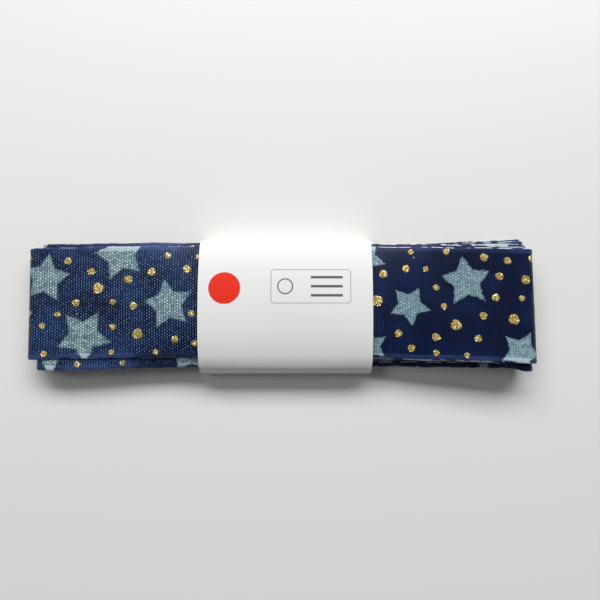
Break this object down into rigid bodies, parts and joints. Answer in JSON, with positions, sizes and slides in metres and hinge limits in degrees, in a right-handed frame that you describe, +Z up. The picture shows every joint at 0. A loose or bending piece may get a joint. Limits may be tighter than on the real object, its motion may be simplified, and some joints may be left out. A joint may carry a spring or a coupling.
{
  "type": "hank of gift ribbon with paper belly band",
  "caption": "Flat hank of wide star-print gift ribbon with glitter dots, wound back and forth in flat layers and held round its middle by a plain paper belly band.",
  "frame": {"origin": "on the surface that the hank lies on, at the flat underside of the paper band, under the middle of the hank", "axes": "+X along the hank towards its puffed end, +Y across it towards the side with the fanned layers, +Z up through the stack of layers"},
  "size_m": [0.1833, 0.0501, 0.0132],
  "materials": {
    "ribbon": "satin woven, printed",
    "paper": "satin coated"
  },
  "bodies": {
    "root": {"ribbon_hank": "ribbon", "paper_band": "paper"}
  },
  "joints": []
}
